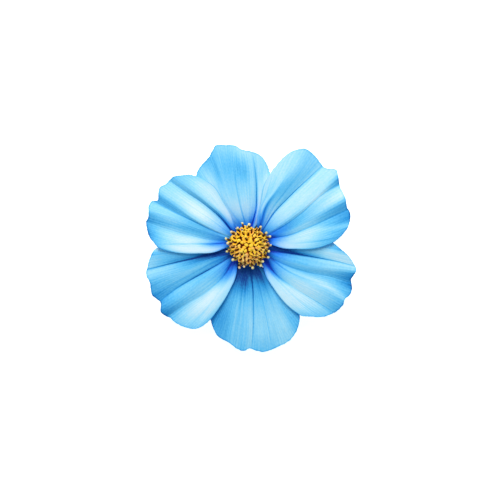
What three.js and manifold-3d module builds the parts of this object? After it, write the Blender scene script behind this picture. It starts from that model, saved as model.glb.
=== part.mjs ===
// A cosmos flower head, picked with a short stub of its stalk and lying face up on a flat surface.
// Six broad pleated petals overlap round a domed disc of small tubular florets. Behind them are a
// ring of thin inner bracts and a green cup with narrow outer bracts, three of which carry the head.
//
// Millimetres, +Z up, z = 0 is the surface that the head lies on. The head's axis is vertical.
// Petal angles are in degrees, counterclockwise from +X, and radii are measured from the head's axis.
import * as THREE from 'three';
import { mergeVertices } from 'three/addons/utils/BufferGeometryUtils.js';
import Module from 'manifold-3d';

const { clamp, degToRad, lerp, smoothstep } = THREE.MathUtils;

// The head's axis, set so that the middle of the whole outline is over the origin.
const axisX = -0.93;
const axisY = 0.93;

// Petals: a claw beside the disc, a rise to a crest, and a rim that falls a little.
const petalThickness = 0.75;
const clawRadius = 4.3;
const clawHeight = 6.0;
const petalRise = 2.4;
const riseLength = 16;
const crestRadius = 21;
const rimFall = 1.0;
const petalReach = 37;
const layeredFrom = 8.2;
const petalRows = 13;
const petalColumnWidth = 2.1;
const creaseSlope = 1.4;

// Disc: a neck between the claws, a wider domed floor above them, and the florets on it.
const discNeckRadius = clawRadius - 0.35;
const discBottom = 5.2;
const discNeckTop = 6.9;
const discFloorRadius = 6.0;
const discRimTop = 9.0;
const discDomeTop = 10.9;
const discSegments = 24;
const floretCount = 70;
const floretSides = 5;
const floretLength = 1.8;
const rimFloretLength = 2.25;
const floretRoot = 1.0;
const floretSpread = 6.0;
const floretLean = 58;
const goldenAngle = 137.508;

// Green parts behind the petals.
const bractCount = 8;
const bractThickness = 0.7;
const innerHubBottom = 4.2;
const innerHubTop = 4.9;
const innerHubRadius = 3.4;
const innerBractTip = 9.3;
const innerBractHalfWidth = 1.95;
const outerBractRoot = 1.6;
const outerBractTip = 11.4;
const outerBractHalfWidth = 1.05;
const bractTurnStray = 5;
const restingBracts = [0, 3, 5];
const liftedTip = 0.55;
const liftedTipStray = 0.35;
const stubRadius = 1.2;
const stubBottom = 0.4;
const cupTop = 3.9;
const cupRadius = 3.1;

const petalBlue = 0x6ec2f5;
const discGold = 0xe2a428;
const bractGreen = 0x9aa95a;
const stalkGreen = 0x5f8a3c;

// Each petal lies between guide lines that run from the claw to the rim: its clockwise edge, its
// valleys and crests by turns, and its counterclockwise edge. A line's angles and drops are given at
// even steps from claw to rim. drop is how far the blade lies below its own surface along the line
// (a negative drop lifts it), and crisp goes from 0, round, to 1, sharp. level is the petal's own
// height among the overlapping six, and rim its outline as angle, radius.
const petals = [
  {
    name: 'petal_top',
    level: -0.8,
    rim: [
      [72, 23.6], [76.2, 27], [79.1, 28.8], [82.9, 30.5], [88, 31.4], [94.6, 32.3], [97.2, 33.6],
      [103.2, 34.5], [108.3, 35.2], [110.5, 34.1], [114.9, 32.2], [121.7, 30.9], [127.1, 29.1],
      [131, 26.8],
    ],
    lines: [
      { angles: [78, 66, 65, 67.5, 72], drop: [0.1, 0.6, 0.5], crisp: 0 },
      { angles: [82, 73, 74, 77, 80], drop: [0, 0.3, 0.3], crisp: 0 },
      { angles: [84, 78.6, 81.8, 84.9, 88], drop: [0.1, 0.8, 0.4], crisp: 1 },
      { angles: [91, 88, 89, 90, 92], drop: [0, 0, 0.1], crisp: 0 },
      { angles: [97, 101.5, 101.8, 100, 98], drop: [0.1, 0.3, 0.6], crisp: 0.3 },
      { angles: [105, 112, 112, 110.5, 109.5], drop: [0, 0, 0], crisp: 0 },
      { angles: [118, 131, 130.5, 130, 131], drop: [0.1, 0.9, 0.9], crisp: 0 },
    ],
  },
  {
    name: 'petal_upper_right',
    level: 0.8,
    rim: [
      [1.9, 28], [5.4, 30.6], [10.1, 33.4], [15.2, 35.1], [18.2, 35.5], [22, 35.2], [26, 35.9],
      [32.9, 36.2], [37, 37.4], [41, 38.6], [44.6, 36.6], [47.5, 36.3], [52, 37], [59.4, 37.5],
      [62.5, 36.2], [66.2, 33.9], [69.9, 29.8], [73.1, 25.2],
    ],
    lines: [
      { angles: [12, -3, -3.8, -2.4, 1.9], drop: [0, -0.35, -0.25], crisp: 0 },
      { angles: [24, 14.8, 16.5, 18.8, 20.2], drop: [0.1, 0.4, 0.5, 0.8, 1.1], crisp: 0.8 },
      { angles: [28, 21, 23, 24.7, 25.6], drop: [0, 0.1, -0.2], crisp: 0.2 },
      { angles: [32, 29.5, 31.5, 34.6, 34.2], drop: [0.1, 0.25, 0.3, 0.2, 0.9], crisp: 0.4 },
      { angles: [36, 33.5, 34.3, 36.5, 37.8], drop: [0, 0, -0.1], crisp: 0.2 },
      { angles: [46, 52.2, 50.6, 48.6, 47.2], drop: [0.1, 1, 0.9], crisp: 0.9 },
      { angles: [54, 65.5, 62.5, 59.8, 60.3], drop: [0, 0, 0], crisp: 0.2 },
      { angles: [58, 72.6, 74.8, 76.3, 73.1], drop: [0.1, 0.5, 0.6], crisp: 0 },
    ],
  },
  {
    name: 'petal_lower_right',
    level: 0,
    rim: [
      [-53.2, 29.2], [-49.1, 31.3], [-44.2, 34.1], [-40.8, 35.4], [-36.5, 36.6], [-32.2, 37.1],
      [-29, 36.7], [-26, 37.5], [-22.3, 37.2], [-18, 35.9], [-15.5, 36.4], [-12.8, 36.8],
      [-9, 35.2], [-5.5, 33.3], [-2, 30.6], [1.8, 28.2], [6.5, 25],
    ],
    lines: [
      { angles: [-45, -59.4, -59.6, -57.5, -53.2], drop: [0, -0.22, -0.12], crisp: 0 },
      { angles: [-39, -46, -42.8, -39.8, -38], drop: [0.1, 0.5, 0.55, 0.6, 0.7], crisp: 0.8 },
      { angles: [-34, -37, -34, -31.5, -30.5], drop: [0, 0.1, 0], crisp: 0 },
      { angles: [-28, -28, -24.7, -21, -20], drop: [0.1, 0.45, 0.5, 0.8, 1.1], crisp: 0.5 },
      { angles: [-20, -20.5, -18.5, -15.6, -13.4], drop: [0, 0, -0.1], crisp: 0.2 },
      { angles: [-13, -10.8, -10, -10, -11], drop: [0.1, 0.5, 0.5, 0.35, 0.25], crisp: 0.7 },
      { angles: [-9, -2, -2, -3.5, -5], drop: [0.1, 0.15, 0.05, 0, 0], crisp: 0 },
      { angles: [-8, 7, 7, 6, 6.5], drop: [0.1, 0.55, 0.75, 0.7, 0.6], crisp: 0 },
    ],
  },
  {
    name: 'petal_bottom',
    level: -0.85,
    rim: [
      [238.5, 24.6], [243.1, 27.9], [249.8, 31.4], [253.2, 32.3], [257.9, 32.9], [264.7, 34.9],
      [267.4, 35.1], [270.5, 34.3], [274.5, 35.2], [278.2, 35.8], [287.3, 35], [292.9, 34.5],
      [297.7, 33.2], [302.1, 31.3], [306.2, 28.8], [309.5, 25.6],
    ],
    lines: [
      { angles: [254.6, 241, 240.5, 239, 238.5], drop: [0.1, 0.45, 0.45], crisp: 0 },
      { angles: [262, 255, 256, 257, 258], drop: [0, 0, 0], crisp: 0 },
      { angles: [267, 265.5, 265.8, 265.5, 264.5], drop: [0, 0.2, 0.2], crisp: 0.3 },
      { angles: [270, 270.3, 270, 269.5, 268], drop: [0, 0, 0], crisp: 0 },
      { angles: [274.6, 275.6, 274.4, 273.3, 271.8], drop: [0.1, 0.45, 0.4], crisp: 1 },
      { angles: [279, 281.5, 281, 280, 278.5], drop: [0, 0, 0], crisp: 0 },
      { angles: [283.5, 288, 288, 287, 286.5], drop: [0, 0.25, 0.35], crisp: 0.2 },
      { angles: [288, 295, 296, 297, 298], drop: [0, 0, 0], crisp: 0 },
      { angles: [294.6, 305, 306.5, 307.5, 309.5], drop: [0.1, 0.45, 0.45], crisp: 0 },
    ],
  },
  {
    name: 'petal_lower_left',
    level: 0,
    rim: [
      [178, 27], [182.1, 31.1], [187.2, 33.2], [191.9, 34.5], [195.4, 35.5], [200.7, 35.2],
      [204.4, 35.8], [207, 36.2], [210.2, 35.4], [213.5, 35], [217, 36.7], [222.6, 35.6],
      [226.8, 35.4], [232.5, 34.4], [236.7, 33.2], [239.3, 31.7], [241, 29.9], [242.5, 27.8],
    ],
    lines: [
      { angles: [194, 182, 179, 177, 178], drop: [0.1, 0.6, 0.75, 0.7, 0.6], crisp: 0 },
      { angles: [196, 186, 185, 185.5, 186], drop: [0.1, 0.2, 0.05, 0, 0], crisp: 0 },
      { angles: [201, 193.6, 192.8, 193, 193.2], drop: [0.1, 0.5, 0.5, 0.4, 0.35], crisp: 0.7 },
      { angles: [204, 200, 201, 200, 199.5], drop: [0, 0.1, 0], crisp: 0 },
      { angles: [211, 211.5, 210.7, 210.6, 212], drop: [0.1, 0.7, 0.8], crisp: 0.8 },
      { angles: [216, 218, 217.5, 217.5, 216.2], drop: [0, 0.1, -0.1], crisp: 0.1 },
      { angles: [221, 230, 228, 223.3, 221.2], drop: [0.1, 0.5, 0.55, 0.7, 1.1], crisp: 0.7 },
      { angles: [232, 246.4, 246.9, 244.8, 242.6], drop: [0, -0.22, -0.12], crisp: 0 },
    ],
  },
  {
    name: 'petal_upper_left',
    level: 0.8,
    rim: [
      [127, 28.7], [129.9, 30.8], [133.5, 32.3], [137.8, 34.1], [143.3, 34.4], [146.5, 35.4],
      [149.2, 35], [153.3, 33.9], [155.4, 35.5], [158.5, 35.8], [164, 34.8], [167, 35.1],
      [170.7, 34.4], [175.5, 33], [179, 31.2], [181.5, 30.2],
    ],
    lines: [
      { angles: [134, 121.2, 119.7, 120.1, 127], drop: [0.1, 0.5, 0.5], crisp: 0 },
      { angles: [140, 131.8, 133.2, 135.6, 137.3], drop: [0, -0.1, 0], crisp: 0.1 },
      { angles: [144, 135.8, 136.6, 139.2, 140.6], drop: [0.1, 0.95, 0.6], crisp: 0.9 },
      { angles: [153, 154.8, 153.9, 151.2, 149.8], drop: [0, -0.1, -0.1], crisp: 0.2 },
      { angles: [156, 157.2, 156, 155.6, 155], drop: [0.1, 0.2, 0.25, 0.55, 0.9], crisp: 0.5 },
      { angles: [159, 160.5, 160.8, 160.5, 161.3], drop: [0, 0.1, 0], crisp: 0.1 },
      { angles: [166, 171, 170, 168.5, 166.7], drop: [0.1, 0.45, 0.5, 0.75, 1], crisp: 0.6 },
      { angles: [178, 190, 188.5, 185.6, 181.5], drop: [0, -0.35, -0.25], crisp: 0 },
    ],
  },
];

// Height of a smooth curve through [x, y] points, held level beyond the first and the last.
function curveThrough(points, x) {
  const last = points.length - 1;
  const at = clamp(x, points[0][0], points[last][0]);
  let k = 0;
  while (k < last - 1 && at > points[k + 1][0]) {
    k += 1;
  }
  const slope = (i) => {
    const before = points[Math.max(0, i - 1)];
    const after = points[Math.min(last, i + 1)];
    return (after[1] - before[1]) / (after[0] - before[0]);
  };
  const span = points[k + 1][0] - points[k][0];
  const t = (at - points[k][0]) / span;
  const gap = t * t * (3 - 2 * t);
  return lerp(points[k][1], points[k + 1][1], gap)
    + span * t * (1 - t) * ((1 - t) * slope(k) - t * slope(k + 1));
}

// The same through values that stand at even steps from 0 to 1.
function curveEven(values, x) {
  return curveThrough(values.map((value, i) => [i / (values.length - 1), value]), x);
}

// How much of line B's drop is felt at a share of the way from line A to it. The blade meets a crisp
// line at a slope and a round one level.
function foldShare(across, crispA, crispB) {
  const start = creaseSlope * crispA * across * (1 - across) ** 2;
  const end = creaseSlope * crispB * across ** 2 * (1 - across);
  return smoothstep(across, 0, 1) + start - end;
}

// Height of the petals' common surface, before their levels and folds.
function petalSurface(radius) {
  const climb = clamp((radius - clawRadius) / riseLength, 0, 1);
  const fall = Math.max(0, radius - crestRadius) / (petalReach - crestRadius);
  return clawHeight + petalRise * (1 - (1 - climb) ** 2) - rimFall * fall ** 2;
}

// A point of a petal's upper face: across is the share of the way from one line to the next, and
// along goes from the claw, 0, to the rim, 1.
function petalPoint(petal, panel, across, along) {
  const [lineA, lineB] = [petal.lines[panel], petal.lines[panel + 1]];
  const angleA = curveEven(lineA.angles, along);
  const angleB = curveEven(lineB.angles, along);
  const angle = lerp(angleA, angleB, across);
  const rimAngle = lerp(lineA.angles.at(-1), lineB.angles.at(-1), across);
  const radius = lerp(clawRadius, curveThrough(petal.rim, rimAngle), along);
  const share = foldShare(across, lineA.crisp, lineB.crisp);
  const dip = lerp(curveEven(lineA.drop, along), curveEven(lineB.drop, along), share);
  const layer = petal.level * smoothstep(radius, clawRadius, layeredFrom);
  const turn = degToRad(angle);
  return new THREE.Vector3(
    radius * Math.cos(turn),
    radius * Math.sin(turn),
    petalSurface(radius) + layer - dip,
  );
}

// A closed blade from rows of points on its upper face. Both faces are split into triangles alike.
function bladeGeometry(rows, thickness) {
  const across = rows[0].length;
  const upper = rows.flat();
  const lower = upper.map((point) => point.clone().setZ(point.z - thickness));
  const below = upper.length;
  const index = [];
  const quad = (a, b, c, d) => index.push(a, b, c, a, c, d);
  for (let row = 0; row < rows.length - 1; row += 1) {
    for (let column = 0; column < across - 1; column += 1) {
      const a = row * across + column;
      const [b, c, d] = [a + across, a + across + 1, a + 1];
      quad(a, b, c, d);
      index.push(below + a, below + c, below + b, below + a, below + d, below + c);
    }
    const start = row * across;
    const end = start + across - 1;
    quad(start, below + start, below + start + across, start + across);
    quad(end, end + across, below + end + across, below + end);
  }
  for (let column = 0; column < across - 1; column += 1) {
    const far = (rows.length - 1) * across + column;
    quad(column, column + 1, below + column + 1, below + column);
    quad(far, below + far, below + far + 1, far + 1);
  }
  const geometry = new THREE.BufferGeometry().setFromPoints([...upper, ...lower]);
  geometry.setIndex(index);
  return geometry;
}

function petalGeometry(petal) {
  const columns = [];
  for (let panel = 0; panel < petal.lines.length - 1; panel += 1) {
    const rimSpan = petal.lines[panel + 1].angles.at(-1) - petal.lines[panel].angles.at(-1);
    const steps = Math.max(3, Math.round(petalReach * degToRad(rimSpan) / petalColumnWidth));
    for (let step = panel === 0 ? 0 : 1; step <= steps; step += 1) {
      columns.push([panel, step / steps]);
    }
  }
  const rows = [];
  for (let row = 0; row <= petalRows; row += 1) {
    rows.push(columns.map(([panel, across]) => petalPoint(petal, panel, across, row / petalRows)));
  }
  return bladeGeometry(rows, petalThickness);
}

// A solid for joining, from any closed geometry.
const wasm = await Module();
wasm.setup();

function toSolid(geometry) {
  const bare = geometry.clone();
  bare.deleteAttribute('normal');
  bare.deleteAttribute('uv');
  const merged = mergeVertices(bare, 1e-4);
  const corners = merged.index.array;
  const triangles = [];
  for (let i = 0; i < corners.length; i += 3) {
    const [a, b, c] = corners.slice(i, i + 3);
    if (a !== b && b !== c && c !== a) {
      triangles.push(a, b, c);
    }
  }
  return new wasm.Manifold(new wasm.Mesh({
    numProp: 3,
    vertProperties: merged.attributes.position.array,
    triVerts: Uint32Array.from(triangles),
  }));
}

function fromSolid(solid) {
  const mesh = solid.getMesh();
  const geometry = new THREE.BufferGeometry();
  geometry.setAttribute('position', new THREE.BufferAttribute(mesh.vertProperties, 3));
  geometry.setIndex(new THREE.BufferAttribute(mesh.triVerts, 1));
  return geometry;
}

// A turned solid standing along +Z, from [radius, height] points that start and end on the axis.
function turnedGeometry(profile, segments) {
  const points = profile.map(([radius, height]) => new THREE.Vector2(radius, height));
  return new THREE.LatheGeometry(points, segments).rotateX(Math.PI / 2);
}

// Height of the disc's floor at a radius.
function discFloor(radius) {
  return lerp(discDomeTop, discRimTop, (radius / discFloorRadius) ** 2);
}

function discCore() {
  const profile = [
    [0, discBottom],
    [discNeckRadius - 0.3, discBottom],
    [discNeckRadius, discBottom + 0.3],
    [discNeckRadius, discNeckTop],
    [discFloorRadius, discNeckTop + 1.3],
  ];
  const rings = 5;
  for (let ring = rings; ring >= 0; ring -= 1) {
    const radius = discFloorRadius * ring / rings;
    profile.push([radius, discFloor(radius)]);
  }
  return turnedGeometry(profile, discSegments);
}

// One floret: a slim tube that opens to a wider mouth, with a rounded knob of anthers on it.
function floretGeometry(size, length) {
  return turnedGeometry([
    [0, -floretRoot],
    [0.42 * size, -floretRoot],
    [0.72 * size, 0.6 * length],
    [0.45 * size, 0.9 * length],
    [0, length],
  ], floretSides);
}

// Florets stand in the spiral of a seed head, upright in the middle and leaning out at the edge.
function discGeometry() {
  let disc = toSolid(discCore());
  for (let k = 0; k < floretCount; k += 1) {
    const share = Math.sqrt((k + 0.5) / floretCount);
    const turn = degToRad(k * goldenAngle);
    const radius = floretSpread * share;
    const length = lerp(floretLength, rimFloretLength, share ** 4);
    const floret = floretGeometry(lerp(0.9, 1.05, share), length)
      .rotateY(degToRad(floretLean * share ** 2))
      .rotateZ(turn)
      .translate(
        radius * Math.cos(turn),
        radius * Math.sin(turn),
        Math.min(discFloor(radius), discDomeTop),
      );
    disc = disc.add(toSolid(floret));
  }
  return fromSolid(disc);
}

// A bract along +X: a narrow blade that follows a curve and ends in a point.
function bractGeometry(curve, halfWidth, widest, rows, trough) {
  const columns = [-1, -0.5, 0, 0.5, 1];
  const grid = [];
  for (let row = 0; row <= rows; row += 1) {
    const along = row / rows;
    const centre = curve.getPoint(along);
    const swell = Math.sin(Math.PI * lerp(widest, 0.98, along));
    const reach = halfWidth * swell + 0.1;
    grid.push(columns.map((side) => new THREE.Vector3(
      centre.x,
      side * reach,
      centre.y + bractThickness / 2 + trough * side ** 2,
    )));
  }
  return bladeGeometry(grid, bractThickness);
}

// Outer bracts spread and bend down. Three of them reach the surface and carry the head.
function outerBract(k) {
  const resting = restingBracts.includes(k);
  const tipHeight = bractThickness / 2 + (resting ? 0 : liftedTip + liftedTipStray * Math.sin(3 * k));
  const curve = new THREE.QuadraticBezierCurve(
    new THREE.Vector2(outerBractRoot, 2.9),
    new THREE.Vector2(lerp(outerBractRoot, outerBractTip, 0.5), 4.1),
    new THREE.Vector2(outerBractTip - (resting ? 0 : 0.5), tipHeight),
  );
  return bractGeometry(curve, outerBractHalfWidth, 0.26, 8, 0.2);
}

function innerBract() {
  const level = innerHubBottom + bractThickness / 2;
  const curve = new THREE.QuadraticBezierCurve(
    new THREE.Vector2(innerHubRadius - 1, level),
    new THREE.Vector2(lerp(innerHubRadius, innerBractTip, 0.5), level - 0.15),
    new THREE.Vector2(innerBractTip, level - 0.3),
  );
  return bractGeometry(curve, innerBractHalfWidth, 0.3, 6, 0);
}

function stalkAndOuterBracts() {
  let green = toSolid(turnedGeometry([
    [0, stubBottom],
    [stubRadius - 0.15, stubBottom],
    [stubRadius, stubBottom + 0.2],
    [stubRadius, 1.6],
    [lerp(stubRadius, cupRadius, 0.2), 2.3],
    [lerp(stubRadius, cupRadius, 0.7), 3.0],
    [cupRadius, 3.5],
    [cupRadius, cupTop],
    [0, cupTop],
  ], 20));
  for (let k = 0; k < bractCount; k += 1) {
    const turn = degToRad(k * 360 / bractCount + bractTurnStray * Math.sin(2.4 * k));
    green = green.add(toSolid(outerBract(k).rotateZ(turn)));
  }
  return fromSolid(green);
}

function innerBracts() {
  let ring = toSolid(turnedGeometry([
    [0, innerHubBottom],
    [innerHubRadius, innerHubBottom],
    [innerHubRadius, innerHubTop],
    [0, innerHubTop],
  ], 24));
  for (let k = 0; k < bractCount; k += 1) {
    const turn = degToRad((k + 0.5) * 360 / bractCount);
    ring = ring.add(toSolid(innerBract().rotateZ(turn)));
  }
  return fromSolid(ring);
}

function namedMesh(name, geometry, color, roughness) {
  const material = new THREE.MeshStandardMaterial({ color, roughness, metalness: 0 });
  const mesh = new THREE.Mesh(geometry, material);
  mesh.name = name;
  return mesh;
}

const flower = new THREE.Group();
flower.position.set(axisX, axisY, 0);
for (const petal of petals) {
  flower.add(namedMesh(petal.name, petalGeometry(petal), petalBlue, 0.5));
}
flower.add(namedMesh('disc', discGeometry(), discGold, 0.7));
flower.add(namedMesh('inner_bracts', innerBracts(), bractGreen, 0.6));
flower.add(namedMesh('stalk_and_outer_bracts', stalkAndOuterBracts(), stalkGreen, 0.6));

const head = new THREE.Group();
head.add(flower);

export default head;
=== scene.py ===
import math
import random
import bpy
from mathutils import Matrix, Vector, noise


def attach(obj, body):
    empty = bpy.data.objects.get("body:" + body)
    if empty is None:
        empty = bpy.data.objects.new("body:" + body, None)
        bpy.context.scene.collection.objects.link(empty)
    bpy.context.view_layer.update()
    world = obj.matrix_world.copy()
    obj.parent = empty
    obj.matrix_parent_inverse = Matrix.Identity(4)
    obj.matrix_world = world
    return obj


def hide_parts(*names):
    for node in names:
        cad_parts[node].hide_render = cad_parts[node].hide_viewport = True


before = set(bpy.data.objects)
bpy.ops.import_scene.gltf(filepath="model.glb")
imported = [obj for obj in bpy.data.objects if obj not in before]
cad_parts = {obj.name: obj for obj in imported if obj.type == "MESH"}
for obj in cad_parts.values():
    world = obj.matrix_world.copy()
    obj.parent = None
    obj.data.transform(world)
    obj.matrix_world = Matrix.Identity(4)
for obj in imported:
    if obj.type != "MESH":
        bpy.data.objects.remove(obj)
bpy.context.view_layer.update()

mm = 0.001
axisX = -0.93  # the head's axis in the frame, mm
axisY = 0.93
tau = 2 * math.pi


def deselectAll():
    for other in bpy.context.selected_objects:
        other.select_set(False)


def pickOnly(piece):
    deselectAll()
    piece.select_set(True)
    bpy.context.view_layer.objects.active = piece


def blend(a, b, t):
    return a + (b - a) * t


def clamp(x, low=0.0, high=1.0):
    return max(low, min(high, x))


def ease(x):
    x = clamp(x)
    return x * x * (3 - 2 * x)


def curveThrough(points, x):
    last = len(points) - 1
    x = clamp(x, points[0][0], points[last][0])
    k = 0
    while k < last - 1 and x > points[k + 1][0]:
        k += 1

    def slope(i):
        before, after = points[max(0, i - 1)], points[min(last, i + 1)]
        return (after[1] - before[1]) / (after[0] - before[0])

    span = points[k + 1][0] - points[k][0]
    t = (x - points[k][0]) / span
    bend = (1 - t) * slope(k) - t * slope(k + 1)
    return blend(points[k][1], points[k + 1][1], ease(t)) + span * t * (1 - t) * bend


def curveEven(values, x):
    return curveThrough([(i / (len(values) - 1), value) for i, value in enumerate(values)], x)


def applyModifiers(piece):
    pickOnly(piece)
    for modifier in list(piece.modifiers):
        bpy.ops.object.modifier_apply(modifier=modifier.name)


def dress(piece, material):
    piece.data.materials.clear()
    piece.data.materials.append(material)
    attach(piece, "root")


def srgb(red, green, blue):
    shares = [channel / 255 for channel in (red, green, blue)]
    return [((share + 0.055) / 1.055) ** 2.4 if share > 0.04 else share / 12.92 for share in shares] + [1]


def attributeOf(nodes, name):
    node = nodes.new("ShaderNodeAttribute")
    node.attribute_name = name
    return node.outputs["Fac"]


def shadeRamp(material, fac, shades):
    nodes, links = material.node_tree.nodes, material.node_tree.links
    ramp = nodes.new("ShaderNodeValToRGB")
    elements = ramp.color_ramp.elements
    while len(elements) < len(shades):
        elements.new(0.5)
    for k, shade in enumerate(shades):
        elements[k].position = k / (len(shades) - 1)
        elements[k].color = srgb(*shade)
    links.new(fac, ramp.inputs["Fac"])
    return ramp.outputs["Color"]


# lengths are in mm and angles in degrees, in every dictionary of the pieces
petalForm = {
    "thickness": 0.3,
    "clawRadius": 4.3,
    "clawHeight": 6.0,
    "rise": 2.4,
    "riseLength": 16,
    "crestRadius": 21,
    "rimFall": 1.0,
    "reach": 37,
    "layeredFrom": 8.2,
    "creaseSlope": 1.4,
    "columns": 264,
    "rows": 96,
    "veins": 46,
    "veinHeight": 0.018,
    "veinTint": 0.022,
    "veinWander": 0.005,
    "wanderPerColumn": 0.09,
    "ripple": 0.06,
    "rippleSize": 3.2,
    "rimRagged": 0.14,
    "raggedPerDegree": 0.55,
    "rimShade": 0.26,
    "rimWidth": 0.3,
    "tintEdge": 0.25,
    "grooveDepth": 0.09,
    "grooveWidth": 0.26,
    "palest": 1.25,
    "violetWithin": 7.5,
    "violetFade": 11,
    "smoothBelow": 60,
}
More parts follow.
